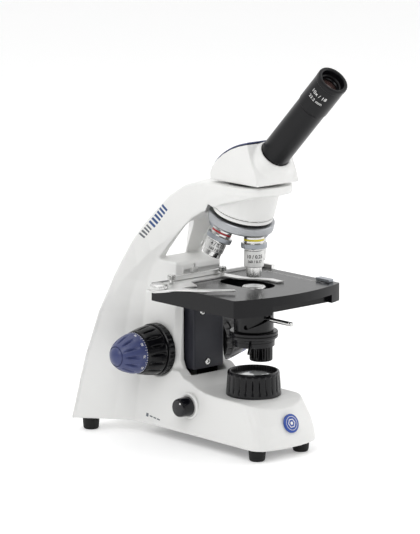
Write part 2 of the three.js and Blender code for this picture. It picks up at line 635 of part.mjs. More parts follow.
// ---- objectives and turret ----------------------------------------------------------------------
const SHOULDER_Z = -SHOULDER;

// Outline of an objective from its shoulder down, as [radius, distance below the shoulder].
function objective(length, barrel, tip) {
  const z = (d) => SHOULDER_Z - d;
  const neck = 12.6;
  const body = length - neck;
  return turned([
    [0, z(-4)], [8.4, z(-4)], [8.4, z(GAP)], [9.25, z(GAP)], [9.25, z(6)], [11.8, z(6.2)], [11.8, z(10.8)],
    [8.2, z(11)], [8.2, z(neck)], [barrel, z(neck + 0.2)], [barrel, z(neck + body * 0.56)],
    [barrel - 0.5, z(neck + body * 0.58)], [barrel - 0.5, z(neck + body * 0.82)], [tip, z(length - 0.4)],
    [tip - 0.4, z(length)], [0, z(length)],
  ], 22);
}

function turretPieces() {
  const holes = [0, 1, 2, 3].map((k) => moved(rod(8.8, -90, -46, 20), seat(k)));
  const disc = moved(turned([
    [0, -49.6], [29, -49.6], [TURRET_R, -50.4], [TURRET_R, -57.2], [29.2, -58], [9, -64.5], [0, -64.5],
  ], 36), TURRET);
  piece('turret', cut(disc, holes), SATIN_GREY);
  const seatProfile = [[0, -44.3], [24, -44.3], [26.6, -45.4], [26.6, -49.2], [0, -49.2]];
  const seatRing = moved(turned(seatProfile, 32), TURRET);
  piece('turret_seat', cut(seatRing, [rod(9, 190, 240, 20)]), BLACK);
  piece('objective_10x', moved(objective(37.2, 8.85, 5.6), seat(0)), SILVER);
  piece('objective_4x', moved(objective(26.4, 8.85, 8), seat(-1)), SILVER);
  piece('objective_40x', moved(objective(42.7, 8.85, 3.6), seat(1)), SILVER);
  piece('objective_100x', moved(objective(43, 8.85, 3.4), seat(2)), SILVER);
}

// ---- head, tube and eyepiece --------------------------------------------------------------------
const HEAD_TOP = [[31, 252.6], [28, 258.4], [22, 264.6], [14, 270.4], [4, 275.6], [-6, 279.2], [-17, 282]];
const HEAD_HALF = 25.4;
const HEAD_UNDER = 246;

// Section of the head's front: from the upright block's edge (at 0) to the tube's collar (at 1).
function headSection(at, radius, frame) {
  const count = 36;
  const low = new THREE.Vector3(0, -31.5, HEAD_UNDER);
  const high = new THREE.Vector3(0, -17, 282);
  const points = [];
  for (let k = 0; k < count; k += 1) {
    const a = (2 * Math.PI * k) / count;
    const [c, d] = [Math.cos(a), Math.sin(a)];
    const stretch = 1 / Math.max(Math.abs(c), Math.abs(d));
    const corner = 1 - 0.06 * Math.max(0, stretch - 1.2) / 0.2;
    const flat = low.clone().lerp(high, 0.5 + 0.5 * d * stretch * corner);
    flat.x = HEAD_HALF * c * stretch * corner;
    const round = new THREE.Vector3(radius * c, radius * d, 0).applyMatrix4(frame);
    points.push(flat.lerp(round, at).toArray());
  }
  return points;
}

function headBody() {
  const side = [[-31.5, HEAD_UNDER], [30, HEAD_UNDER], [31, 247], ...HEAD_TOP];
  const block = sidePlate(side, -HEAD_HALF, HEAD_HALF);
  const root = chain(TUBE, shift(0, 0, -7));
  const front = loft([
    headSection(0, 22, root).map(([x, y, z]) => [x * 0.9, y + 8, 264 + (z - 264) * 0.8]),
    headSection(0, 22, root),
    headSection(0.34, 23, root),
    headSection(0.7, 21.4, root),
    circle(18.8, chain(TUBE, shift(0, 0, -3.4)), 36),
    circle(16.6, chain(TUBE, shift(0, 0, -0.8)), 36),
    circle(15, chain(TUBE, shift(0, 0, 0.2)), 36),
  ]);
  const above = sidePlate([...HEAD_TOP, [-17, 320], [50, 320], [50, 252.6]], -40, 40);
  return block.add(front.intersect(box(-60, 60, -80, 40, HEAD_UNDER, 320))).subtract(above);
}

function headPieces() {
  piece('head_ring', ring(22, 12, ARM_TOP + GAP, HEAD_UNDER - GAP), GLOSS_BLACK);
  const tubeBore = moved(rod(11.4, -26, 30, 32), TUBE);
  const lightBore = rod(11, 240, 266, 32);
  const body = cut(headBody(), [moved(rod(TUBE_R + GAP, -4, 30), TUBE), lightBore.add(tubeBore)]);
  piece('head_body', body, WHITE);
  const skin = [...HEAD_TOP, ...HEAD_TOP.map(([y, z]) => [y + 0.6, z + 1.5]).reverse()];
  const lifted = skin.map(([y, z]) => [y + 0.25, z + GAP + 0.25]);
  piece('top_cover', sidePlate(lifted, -23.4, 23.4), BLUE);
  const eyeTop = TUBE_LEN + EYEPIECE_LEN;
  piece('tube', moved(ring(TUBE_R, 11.8, -3.6, TUBE_LEN - 0.15), TUBE), GLOSS_BLACK);
  piece('eyepiece', moved(turned([
    [9.6, TUBE_LEN - 24], [11.5, TUBE_LEN - 24], [11.5, TUBE_LEN + 0.15], [EYEPIECE_R, TUBE_LEN + 0.15],
    [EYEPIECE_R, eyeTop - 1], [EYEPIECE_R - 0.8, eyeTop], [10.8, eyeTop], [9, eyeTop - 5],
    [9, TUBE_LEN + 16], [9.6, TUBE_LEN + 16], [9.6, TUBE_LEN - 24],
  ]), TUBE), BLACK);
  piece('eye_lens', moved(turned([
    [0, TUBE_LEN + 22], [8.7, TUBE_LEN + 22], [8.7, TUBE_LEN + 25], [5, TUBE_LEN + 26.4], [0, TUBE_LEN + 27],
  ], 24), TUBE), GLASS);
}

standPieces();
focusPieces();
stagePieces();
slideMoverPieces();
turretPieces();
headPieces();

const bounds = new THREE.Box3();
for (const mesh of group.children) bounds.expandByObject(mesh, true);
const middle = bounds.getCenter(new THREE.Vector3());
for (const mesh of group.children) mesh.geometry.translate(-middle.x, -middle.y, -bounds.min.z);

export default group;
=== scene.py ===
import math

import bmesh
import bpy
import numpy as np
from mathutils import Matrix, Vector
from mathutils.bvhtree import BVHTree


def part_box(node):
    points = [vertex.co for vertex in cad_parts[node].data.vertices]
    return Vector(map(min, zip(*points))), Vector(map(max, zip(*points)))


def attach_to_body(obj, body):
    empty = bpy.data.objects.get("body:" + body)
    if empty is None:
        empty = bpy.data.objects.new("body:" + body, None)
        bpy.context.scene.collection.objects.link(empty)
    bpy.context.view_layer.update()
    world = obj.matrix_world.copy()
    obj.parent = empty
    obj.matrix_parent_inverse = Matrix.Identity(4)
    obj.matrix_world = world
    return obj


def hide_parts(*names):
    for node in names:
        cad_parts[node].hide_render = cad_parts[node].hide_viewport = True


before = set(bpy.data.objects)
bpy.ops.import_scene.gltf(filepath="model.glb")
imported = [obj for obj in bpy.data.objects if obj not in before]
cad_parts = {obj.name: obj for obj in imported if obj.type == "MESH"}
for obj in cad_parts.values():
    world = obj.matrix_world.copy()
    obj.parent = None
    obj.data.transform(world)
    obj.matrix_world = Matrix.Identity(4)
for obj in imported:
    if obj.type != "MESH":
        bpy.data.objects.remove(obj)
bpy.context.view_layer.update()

MM = 0.001
# The optical axis is the axis of the illuminator ring.
RING_LOW, RING_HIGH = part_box("illuminator_ring")
AXIS_X = (RING_LOW.x + RING_HIGH.x) / 2
AXIS_Y = (RING_LOW.y + RING_HIGH.y) / 2


def at(x, y, z):
    """A point given in millimetres from the optical axis on the table."""
    return Vector((AXIS_X + x * MM, AXIS_Y + y * MM, z * MM))


def turn(degrees, axis):
    return Matrix.Rotation(math.radians(degrees), 4, axis)


def pose(x, y, z, *turns):
    """Frame of a turned part: its place, then its rotations."""
    matrix = Matrix.Translation(at(x, y, z))
    for rotation in turns:
        matrix = matrix @ rotation
    return matrix


TURRET_TILT = 18

# Frames of the turned parts. Each part's own axis is Z.
UPRIGHT = pose(0, 0, 0)
TURRET = pose(0, 0, 260, turn(TURRET_TILT, "X"))
TUBE = pose(0, -27.1, 272.9, turn(45, "X"))
KNOB_FRAMES = {
    "left": pose(-31, 94, 82, turn(-90, "Y")),
    "right": pose(31, 94, 82, turn(90, "Y")),
}
DIAL = pose(-36.4, 46, 37.5, turn(-90, "Y"))
BADGE = pose(0, -49.1, 32.5, turn(70, "X"))
XY_KNOBS = pose(45, 38.5, 0)
DISC = pose(-85, 32, 0)


# ---- materials ----------------------------------------------------------------------------------
GRAIN_DEPTH = 0.0003  # metres
GLOSS_SCALE = 160
LOWEST_ROUGHNESS = 0.02
COAT_ROUGHNESS = 0.12
REFRACTION = 1.5
RINGS = (1, 1, 60)  # draws the clouding out into rings round a turned part
BRUSHED = (1, 18, 1)  # and into lines across the brushed steel


def socket(shader, name, value):
    if name in shader.inputs:
        shader.inputs[name].default_value = value


def noise(nodes, links, coords, scale, detail, stretch):
    source = coords
    if stretch:
        mapping = nodes.new("ShaderNodeMapping")
        mapping.inputs["Scale"].default_value = stretch
        links.new(coords, mapping.inputs["Vector"])
        source = mapping.outputs["Vector"]
    texture = nodes.new("ShaderNodeTexNoise")
    texture.inputs["Scale"].default_value = scale
    texture.inputs["Detail"].default_value = detail
    links.new(source, texture.inputs["Vector"])
    return texture.outputs["Fac"]


def finish(name, color, roughness, metallic=0.0, tint=0.04, tint_scale=55, spread=0.05, bump=0.08,
           bump_scale=900, stretch=None, specular=0.5, coat=0.0, transmission=0.0):
    """Node material: clouded colour, uneven gloss and a fine surface grain."""
    material = bpy.data.materials.new(name)
    material.use_nodes = True
    nodes, links = material.node_tree.nodes, material.node_tree.links
    shader = nodes["Principled BSDF"]
    coords = nodes.new("ShaderNodeTexCoord").outputs["Object"]
    mix = nodes.new("ShaderNodeMix")
    mix.data_type = "RGBA"
    mix.inputs["A"].default_value = (*[c * (1 - tint) for c in color], 1)
    mix.inputs["B"].default_value = (*[min(1, c * (1 + tint)) for c in color], 1)
    links.new(noise(nodes, links, coords, tint_scale, 4, stretch), mix.inputs["Factor"])
    links.new(mix.outputs["Result"], shader.inputs["Base Color"])
    gloss = nodes.new("ShaderNodeMapRange")
    gloss.inputs["To Min"].default_value = max(LOWEST_ROUGHNESS, roughness - spread)
    gloss.inputs["To Max"].default_value = roughness + spread
    links.new(noise(nodes, links, coords, GLOSS_SCALE, 3, stretch), gloss.inputs["Value"])
    links.new(gloss.outputs["Result"], shader.inputs["Roughness"])
    grain = nodes.new("ShaderNodeBump")
    grain.inputs["Strength"].default_value = bump
    grain.inputs["Distance"].default_value = GRAIN_DEPTH
    links.new(noise(nodes, links, coords, bump_scale, 2, stretch), grain.inputs["Height"])
    links.new(grain.outputs["Normal"], shader.inputs["Normal"])
    socket(shader, "Metallic", metallic)
    socket(shader, "Specular IOR Level", specular)
    socket(shader, "Coat Weight", coat)
    socket(shader, "Coat Roughness", COAT_ROUGHNESS)
    socket(shader, "Transmission Weight", transmission)
    socket(shader, "IOR", REFRACTION)
    return material


WHITE = finish("white_enamel", (0.8, 0.8, 0.785), 0.38, tint=0.012, bump=0.07,
               bump_scale=700, specular=0.4)
BLACK = finish("black_enamel", (0.004, 0.004, 0.005), 0.28, tint=0.2, bump=0.1,
               bump_scale=1500, specular=0.24)
STAGE_BLACK = finish("stage_enamel", (0.003, 0.003, 0.004), 0.2, tint=0.2, bump=0.05,
                     bump_scale=1300, specular=0.24)
BLACK_TURNED = finish("black_anodised", (0.004, 0.004, 0.005), 0.24, tint=0.2, bump=0.05,
                      stretch=RINGS, specular=0.32)
TUBE_BLACK = finish("tube_enamel", (0.003, 0.003, 0.004), 0.3, tint=0.2, bump=0.07,
                    bump_scale=1200, specular=0.24)
CHARCOAL = finish("charcoal_enamel", (0.027, 0.028, 0.037), 0.42, tint=0.12, bump=0.35,
                  bump_scale=1500, specular=0.3)
# Painted shade: matte black on the guide that lines the casting's slot, so the recess inside stays as dark
# as its shade.
SLOT_SHADE_BLACK = finish("recess_painted_shade", (0.004, 0.004, 0.005), 0.6, tint=0.2, bump=0.2,
               bump_scale=1500, specular=0.2)
PLASTIC = finish("black_plastic", (0.003, 0.003, 0.004), 0.2, tint=0.2, bump=0.05,
                 bump_scale=800, specular=0.3)
GLOSSY = finish("gloss_black", (0.004, 0.004, 0.006), 0.12, tint=0.2, bump=0.03,
                bump_scale=500, specular=0.4)
BLUE = finish("blue_plastic", (0.05, 0.062, 0.16), 0.32, tint=0.06, bump=0.12,
              bump_scale=1100, specular=0.4)
COVER_BLUE = finish("cover_blue", (0.04, 0.055, 0.14), 0.4, tint=0.06, bump=0.12,
                    bump_scale=1100, specular=0.4)
BADGE_BLUE = finish("badge_blue", (0.02, 0.065, 0.32), 0.22, tint=0.05, bump=0.03, bump_scale=600)
RUBBER = finish("rubber", (0.007, 0.007, 0.007), 0.62, tint=0.25, bump=0.4,
                bump_scale=1400, specular=0.3)
CHROME = finish("chrome", (0.62, 0.62, 0.61), 0.16, 1.0, tint=0.05, spread=0.06, bump=0.06,
                stretch=RINGS)
SATIN_CHROME = finish("satin_chrome", (0.66, 0.66, 0.65), 0.4, 1.0, tint=0.05, bump=0.1,
                      stretch=RINGS)
STEEL = finish("satin_steel", (0.66, 0.66, 0.65), 0.34, 1.0, tint=0.06, bump=0.1, stretch=BRUSHED)
SHEET = finish("silver_sheet", (0.78, 0.78, 0.77), 0.36, 0.9, tint=0.04, bump=0.1, bump_scale=1300)
ALUMINIUM = finish("satin_aluminium", (0.40, 0.41, 0.425), 0.38, 0.9, tint=0.06, bump=0.15,
                   bump_scale=1400)
KNURL = finish("knurled_grey", (0.36, 0.38, 0.41), 0.36, 0.9, tint=0.06, bump=0.15, bump_scale=1400)
BRASS = finish("brass", (0.62, 0.46, 0.2), 0.32, 1.0, tint=0.06, bump=0.1)
GLASS = finish("glass", (0.97, 0.985, 0.99), 0.03, tint=0.01, spread=0.01, bump=0.0,
               transmission=1.0)
WINDOW = finish("lamp_glass", (0.7, 0.71, 0.71), 0.07, 0.35, tint=0.05, tint_scale=90,
                bump=0.0, coat=1.0)
FROSTED = finish("frosted_glass", (0.75, 0.76, 0.76), 0.3, 0.2, tint=0.03)
COATED = finish("coated_lens", (0.09, 0.05, 0.045), 0.05, 0.2, tint=0.2, tint_scale=120,
                spread=0.02, bump=0.0, coat=1.0)
REFLECTOR = finish("reflector", (0.9, 0.9, 0.89), 0.2, 0.2, tint=0.05, spread=0.05, bump=0.05)
INK_WHITE = finish("ink_white", (0.78, 0.78, 0.77), 0.5, tint=0.05, bump=0.05)
INK_GREY = finish("ink_grey", (0.12, 0.13, 0.15), 0.5, tint=0.1, bump=0.05)
INK_BLUE = finish("ink_blue", (0.03, 0.075, 0.22), 0.5, tint=0.1, bump=0.05)
INK_BLACK = finish("ink_black", (0.02, 0.02, 0.022), 0.5, tint=0.1, bump=0.05)
RING_COLORS = {
    "red": finish("ring_red", (0.36, 0.016, 0.02), 0.3, tint=0.06),
    "yellow": finish("ring_yellow", (0.75, 0.62, 0.01), 0.3, tint=0.06),
    "blue": finish("ring_blue", (0.02, 0.16, 0.5), 0.3, tint=0.06),
    "white": finish("ring_white", (0.75, 0.75, 0.74), 0.3, tint=0.04),
}


# ---- mesh helpers -------------------------------------------------------------------------------
ON_AXIS = 1e-6  # a radius below this is a point on the axis; millimetres, as the values below
WELD = 1e-5  # metres
FLAT_WITHIN = math.radians(1.0)
MARK_CELL = (0.6, 1.2)  # a mark has cells no larger than this, so that it follows its surface
MARK_LAYERS = (-0.1, 0.05)  # its underside and its top, measured from the surface
FIGURE_DEPTH = 0.08
FIGURE_SUNK = 0.03


def linked(name, mesh, matrix, materials):
    for material in materials:
        mesh.materials.append(material)
    piece = bpy.data.objects.new(name, mesh)
    bpy.context.scene.collection.objects.link(piece)
    piece.matrix_world = matrix
    return piece


def attach(piece, body, replaces=()):
    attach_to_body(piece, body)
    if replaces:
        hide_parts(*replaces)


def soften(piece, width, segments=2, angle=32):
    """Rounded edges and smooth shading between them."""
    mesh = piece.data
    mesh.polygons.foreach_set("use_smooth", [True] * len(mesh.polygons))
    if width:
        bevel = piece.modifiers.new("edge", "BEVEL")
        bevel.width = width * MM
        bevel.segments = segments
        bevel.limit_method = "ANGLE"
        bevel.angle_limit = math.radians(angle)
        bevel.harden_normals = False
        bevel.use_clamp_overlap = True
        normals = piece.modifiers.new("normals", "WEIGHTED_NORMAL")
        normals.keep_sharp = True
        normals.weight = 60
    else:
        mesh.set_sharp_from_angle(angle=math.radians(angle))


def revolve(profile, segments, shape=None):
    """Mesh turned round Z from (radius, height) pairs in millimetres.

    A third item is the material index of the band that starts there. shape(r, z, angle) may move a
    point.
    """
    mesh = bpy.data.meshes.new("turned")
    builder = bmesh.new()
    rows = []
    for r, z, *_ in profile:
        if r < ON_AXIS:
            rows.append([builder.verts.new((0, 0, z * MM))])
            continue
        row = []
        for k in range(segments):
            a = 2 * math.pi * k / segments
            rr, zz = shape(r, z, a) if shape else (r, z)
            row.append(builder.verts.new((rr * MM * math.cos(a), rr * MM * math.sin(a), zz * MM)))
        rows.append(row)
    if len(rows[0]) > 1 and len(rows[-1]) > 1:
        rows.append(rows[0])
    for i in range(len(rows) - 1):
        a, b = rows[i], rows[i + 1]
        index = profile[i][2] if len(profile[i]) > 2 else 0
        for k in range(segments):
            n = (k + 1) % segments
            corners = [a[k % len(a)], a[n % len(a)], b[n % len(b)], b[k % len(b)]]
            unique = list(dict.fromkeys(corners))
            if len(unique) > 2:
                face = builder.faces.new(unique)
                face.material_index = index
    bmesh.ops.recalc_face_normals(builder, faces=builder.faces)
    builder.to_mesh(mesh)
    builder.free()
    return mesh


def finer(profile, step):
    """The same profile with points no further apart than step."""
    result = []
    for (r0, z0, *index), (r1, z1, *_) in zip(profile, profile[1:]):
        count = max(1, math.ceil(math.dist((r0, z0), (r1, z1)) / step))
        for k in range(count):
            t = k / count
            result.append((r0 + t * (r1 - r0), z0 + t * (z1 - z0), *index))
    result.append(profile[-1])
    return result


def flowing(points, per_span=6):
    """Smooth curve through the points (Catmull-Rom)."""
    pts = [np.array(p, float) for p in points]
    pts = [2 * pts[0] - pts[1], *pts, 2 * pts[-1] - pts[-2]]
    result = []
    for a, b, c, d in zip(pts, pts[1:], pts[2:], pts[3:]):
        for k in range(per_span):
            t = k / per_span
            result.append(tuple(0.5 * (2 * b + (c - a) * t + (2 * a - 5 * b + 4 * c - d) * t ** 2
                                       + (3 * b - a - 3 * c + d) * t ** 3)))
    result.append(tuple(pts[-2]))
    return result


def turned(name, profile, matrix, body, materials, replaces=(), segments=96, shape=None,
           edge=0.25):
    """A piece turned from its profile, riding on body."""
    piece = linked(name, revolve(profile, segments, shape), matrix, materials)
    soften(piece, edge)
    attach(piece, body, replaces)


def copied(node):
    """A welded copy of a CAD node's mesh, with flat areas made whole."""
    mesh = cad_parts[node].data.copy()
    mesh.materials.clear()
    builder = bmesh.new()
    builder.from_mesh(mesh)
    bmesh.ops.remove_doubles(builder, verts=builder.verts, dist=WELD)
    bmesh.ops.dissolve_limit(builder, angle_limit=FLAT_WITHIN, verts=builder.verts,
                             edges=builder.edges)
    bmesh.ops.recalc_face_normals(builder, faces=builder.faces)
    for face in builder.faces:
        face.material_index = 0
    builder.to_mesh(mesh)
    builder.free()
    return mesh


def refined(node, body, material, edge, segments=2, angle=32):
    """The CAD node's own shape with its edges taken off."""
    piece = linked(f"{node}_visual", copied(node), Matrix.Identity(4), [material])
    soften(piece, edge, segments, angle)
    attach(piece, body, [node])


def box_mesh(builder, low, high):
    corners = [builder.verts.new((x, y, z)) for z in (low[2], high[2])
               for y in (low[1], high[1]) for x in (low[0], high[0])]
    for quad in ((0, 2, 3, 1), (4, 5, 7, 6), (0, 1, 5, 4), (2, 6, 7, 3), (0, 4, 6, 2), (1, 3, 7, 5)):
        builder.faces.new([corners[i] for i in quad])


def mark_mesh(marks, place):
    """Thin raised marks, each a box (u0, u1, v0, v1) in millimetres on a surface.

    place(u, v, lift) gives each point in metres.
    """
    mesh = bpy.data.meshes.new("marks")
    builder = bmesh.new()
    for u0, u1, v0, v1 in marks:
        nu = max(1, math.ceil((u1 - u0) / MARK_CELL[0]))
        nv = max(1, math.ceil((v1 - v0) / MARK_CELL[1]))
        layers = [[[builder.verts.new(place(u0 + (u1 - u0) * a / nu, v0 + (v1 - v0) * b / nv, lift))
                    for b in range(nv + 1)] for a in range(nu + 1)] for lift in MARK_LAYERS]
        for layer in layers:
            for a in range(nu):
                for b in range(nv):
                    builder.faces.new((layer[a][b], layer[a + 1][b], layer[a + 1][b + 1], layer[a][b + 1]))
        rim = [(a, 0) for a in range(nu)] + [(nu, b) for b in range(nv)]
        rim += [(a, nv) for a in range(nu, 0, -1)] + [(0, b) for b in range(nv, 0, -1)]
        for (a, b), (c, d) in zip(rim, rim[1:] + rim[:1]):
            builder.faces.new((layers[0][a][b], layers[0][c][d], layers[1][c][d], layers[1][a][b]))
    bmesh.ops.recalc_face_normals(builder, faces=builder.faces)
    builder.to_mesh(mesh)
    builder.free()
    return mesh


def tick(k, long, short):
    """Length of a scale's division k: every fifth one is long."""
    return long if k % 5 == 0 else short


def text_mesh(words, size, place, weight=0.0):
    """Figures laid on a surface. place(u, v, lift) gives each point in metres; u and v are in mm."""
    curve = bpy.data.curves.new("figures", "FONT")
    curve.body = words
    curve.size = size
    curve.align_x = "CENTER"
    curve.align_y = "CENTER"
    curve.extrude = FIGURE_DEPTH
    curve.offset = weight
    curve.resolution_u = 3
    holder = bpy.data.objects.new("figures", curve)
    bpy.context.scene.collection.objects.link(holder)
    graph = bpy.context.evaluated_depsgraph_get()
    mesh = bpy.data.meshes.new_from_object(holder.evaluated_get(graph))
    bpy.data.objects.remove(holder)
    for vertex in mesh.vertices:
        vertex.co = place(vertex.co.x, vertex.co.y, vertex.co.z - FIGURE_SUNK)
    return mesh


def merged(meshes):
    builder = bmesh.new()
    for mesh in meshes:
        builder.from_mesh(mesh)
    result = bpy.data.meshes.new("merged")
    builder.to_mesh(result)
    builder.free()
    return result


def around(radius, z0, angle, slope=0.0):
    """Surface of a turned part: u runs round it and v along it, both from z0 and angle.

    slope is the radius's change per millimetre of v.
    """
    def place(u, v, lift):
        r = radius + slope * v + lift
        a = angle + u / radius
        return Vector((r * math.cos(a), r * math.sin(a), z0 + v)) * MM
    return place


# ---- castings -----------------------------------------------------------------------------------
SMOOTHING_PAIR = (0.5, -0.52)  # a step in, then a slightly longer one out, keeps the volume
CREASE = 0.24  # length of the difference of two neighbouring normals at a real edge
EDGE_REACH = 2


def relaxed(mesh, rounds, flat_rounds):
    """Evens out facets: `rounds` steps everywhere, then flat_rounds more away from the real edges."""
    count = len(mesh.vertices)
    co = np.empty(count * 3)
    mesh.vertices.foreach_get("co", co)
    co = co.reshape(-1, 3)
    edges = np.empty(len(mesh.edges) * 2, np.int64)
    mesh.edges.foreach_get("vertices", edges)
    a, b = edges.reshape(-1, 2).T
    degree = np.bincount(a, minlength=count) + np.bincount(b, minlength=count)

    def mean(values):
        total = np.empty_like(values)
        for axis in range(values.shape[1]):
            column = values[:, axis]
            total[:, axis] = np.bincount(a, column[b], count) + np.bincount(b, column[a], count)
        return total / degree[:, None]

    def spread(values, steps):
        for _ in range(steps):
            high = values.copy()
            np.maximum.at(high, a, values[b])
            np.maximum.at(high, b, values[a])
            values = high
        return values

    def smooth(points, steps, share):
        for _ in range(steps):
            for factor in SMOOTHING_PAIR:
                points = points + factor * share * (mean(points) - points)
        return points

    co = smooth(co, rounds, np.ones((count, 1)))
    mesh.vertices.foreach_set("co", co.ravel())
    mesh.update()
    normals = np.empty(count * 3)
    mesh.vertex_normals.foreach_get("vector", normals)
    normals = normals.reshape(-1, 3)
    bend = np.zeros(count)
    difference = np.linalg.norm(normals[a] - normals[b], axis=1)
    np.maximum.at(bend, a, difference)
    np.maximum.at(bend, b, difference)
    edge = spread((bend > CREASE).astype(float), EDGE_REACH)
    share = 1 - mean(mean(mean(edge[:, None])))
    co = smooth(co, flat_rounds, share)
    mesh.vertices.foreach_set("co", co.ravel())
    mesh.update()


def casting(node, body, voxel, rounds, flat_rounds, keep, blocks=()):
    """White cast part: the CAD shape with its facets evened out and every edge softly rounded."""
    shape = copied(node)
    builder = bmesh.new()
    builder.from_mesh(shape)
    for low, high in blocks:
        box_mesh(builder, at(*low), at(*high))
    builder.to_mesh(shape)
    builder.free()
    holder = linked("casting", shape, Matrix.Identity(4), [])
    remesh = holder.modifiers.new("remesh", "REMESH")
    remesh.mode = "VOXEL"
    remesh.voxel_size = voxel * MM
    graph = bpy.context.evaluated_depsgraph_get()
    mesh = bpy.data.meshes.new_from_object(holder.evaluated_get(graph))
    bpy.data.objects.remove(holder)
    relaxed(mesh, rounds, flat_rounds)
    surface = BVHTree.FromPolygons([v.co for v in mesh.vertices], [p.vertices for p in mesh.polygons])
    piece = linked(f"{node}_casting", mesh, Matrix.Identity(4), [WHITE])
    mesh.polygons.foreach_set("use_smooth", [True] * len(mesh.polygons))
    fewer = piece.modifiers.new("fewer", "DECIMATE")
    fewer.ratio = keep
    attach(piece, body, [node])
    return surface


MARKS_FROM_X = -150  # the rays that lay the side marks start here, left of the stand


def side_marks(surface):
    """Plain printed marks on the left side: two rows of bars up the arm, a square and dashes below."""
    def strip(y0, z0, y1, z1):
        length = math.dist((y0, z0), (y1, z1))
        along = ((y1 - y0) / length, (z1 - z0) / length)

        def place(u, v, lift):
            y, z = y0 + along[0] * u - along[1] * v, z0 + along[1] * u + along[0] * v
            hit, normal, *_ = surface.ray_cast(at(MARKS_FROM_X, y, z), Vector((1, 0, 0)))
            return hit + normal * lift * MM
        return place

    arm = strip(113, 184.5, 85, 219)
    base = strip(104, 19.4, 82, 17.2)
    dashes = [(u0, u1, -0.6, 0.6) for u0, u1 in ((5, 9), (10.2, 14.2), (15.4, 19.4))]
    for name, place, marks, ink in (
            ("arm_bars_grey", arm, [(k * 3.4, k * 3.4 + 1.7, -3.2, 3.2) for k in range(4)], INK_GREY),
            ("arm_bars_blue", arm, [(k * 4.2 + 14.6, k * 4.2 + 16.9, -3.4, 4.2) for k in range(6)],
             INK_BLUE),
            ("base_bar", base, [(0, 3.2, -1.6, 1.6), *dashes], INK_GREY)):
        piece = linked(name, mark_mesh(marks, place), Matrix.Identity(4), [ink])
        attach(piece, "stand")


COVER_HALF_WIDTH = 23.4
COVER_HEIGHT = 1.0
COVER_SUNK = 0.3
COVER_SLOPE = 0.9  # its sides lean in by this much
COVER_NARROWING = 2.7  # how much narrower each side is at the front end
COVER_NARROW_ROWS = 5


def head_cover():
    """Blue cap strip over the head's crown."""
    crown = flowing([(31.2, 253.6), (28.2, 259.4), (22.3, 265.6), (14.3, 271.4), (4.2, 276.6),
                     (-5.8, 280.2), (-16.6, 283)])
    mesh = bpy.data.meshes.new("crown")
    builder = bmesh.new()
    rows = []
    for k, (y, z) in enumerate(crown):
        foot = COVER_HALF_WIDTH - COVER_NARROWING * max(0.0, 1 - k / COVER_NARROW_ROWS) ** 2
        top = foot - COVER_SLOPE
        rows.append([builder.verts.new(at(x, y, z + lift)) for x, lift in (
            (-foot, -COVER_SUNK), (-top, COVER_HEIGHT), (top, COVER_HEIGHT), (foot, -COVER_SUNK))])
    for first, second in zip(rows, rows[1:]):
        for i in range(4):
            j = (i + 1) % 4
            builder.faces.new([first[i], first[j], second[j], second[i]])
    builder.faces.new(rows[0][::-1])
    builder.faces.new(rows[-1])
    bmesh.ops.recalc_face_normals(builder, faces=builder.faces)
    builder.to_mesh(mesh)
    builder.free()
    piece = linked("crown_cover", mesh, Matrix.Identity(4), [COVER_BLUE])
    soften(piece, 0.35)
    attach(piece, "head", ["top_cover"])


LINTEL = ((-22.5, 70.8, 152.2), (22.5, 80.2, 158.5))  # closes the casting's slot above the stage


def castings():
    surface = casting("stand", "stand", voxel=1.0, rounds=4, flat_rounds=16, keep=0.5, blocks=[LINTEL])
    side_marks(surface)
    casting("head_body", "head", voxel=0.7, rounds=26, flat_rounds=30, keep=0.7)
    head_cover()


# ---- knobs --------------------------------------------------------------------------------------
FINE_DIVISIONS = 50
FINE_FIGURES = 10
FINE_FLANK_SLOPE = -0.28


def hollows(count, z0, z1, depth, sharpness, power):
    """Row of long dimples round a knob, between the heights z0 and z1.

    A higher sharpness makes each one narrower, and a lower power makes its ends blunter.
    """
    def shape(r, z, a):
        if not z0 < z < z1:
            return r, z
        along = math.sin(math.pi * (z - z0) / (z1 - z0)) ** power
        across = max(0.0, math.cos(count * a)) ** sharpness
        return r - depth * along * across, z
    return shape


def fine_knob(side):
    """Blue dial with finger scoops, divisions round its skirt and figures along its flank."""
    skirt = [(2.4, 28.7), (18.2, 28.7), (18.8, 29.3), (18.9, 30.2)]
    flank = flowing([(18.9, 31.2), (18.4, 33.8), (17.5, 37.2), (16.2, 41), (14.5, 44.6), (12.4, 48),
                     (10.3, 50.6)])
    nose = [(9.4, 51.5), (9.15, 51.3), (9.0, 50.5), (8.75, 50.5), (8.6, 51.5), (8.3, 52.1), (7.2, 53.3),
            (5, 54.7), (2.5, 55.7), (0, 56)]
    turned(f"fine_dial_{side}", [(0, 46), (2.4, 46), *skirt, *flank, *nose], KNOB_FRAMES[side],
           "fine_drive", [BLUE], [f"fine_knob_{side}"], 240,
           hollows(12, 36.4, 49.8, 2.3, 2.2, 0.8), edge=0)
    meshes = []
    for k in range(FINE_DIVISIONS):
        edge_of_skirt = around(18.93, 29.4, 2 * math.pi * k / FINE_DIVISIONS, -0.06)
        meshes.append(mark_mesh([(-0.22, 0.22, 0, tick(k, 2.6, 1.7))], edge_of_skirt))
    for k in range(FINE_FIGURES):
        angle = 2 * math.pi * (k + 0.5) / FINE_FIGURES
        meshes.append(text_mesh(str(k * 10), 3.0, around(18.6, 33.2, angle, FINE_FLANK_SLOPE)))
    piece = linked(f"fine_marks_{side}", merged(meshes), KNOB_FRAMES[side], [INK_WHITE])
    attach(piece, "fine_drive")


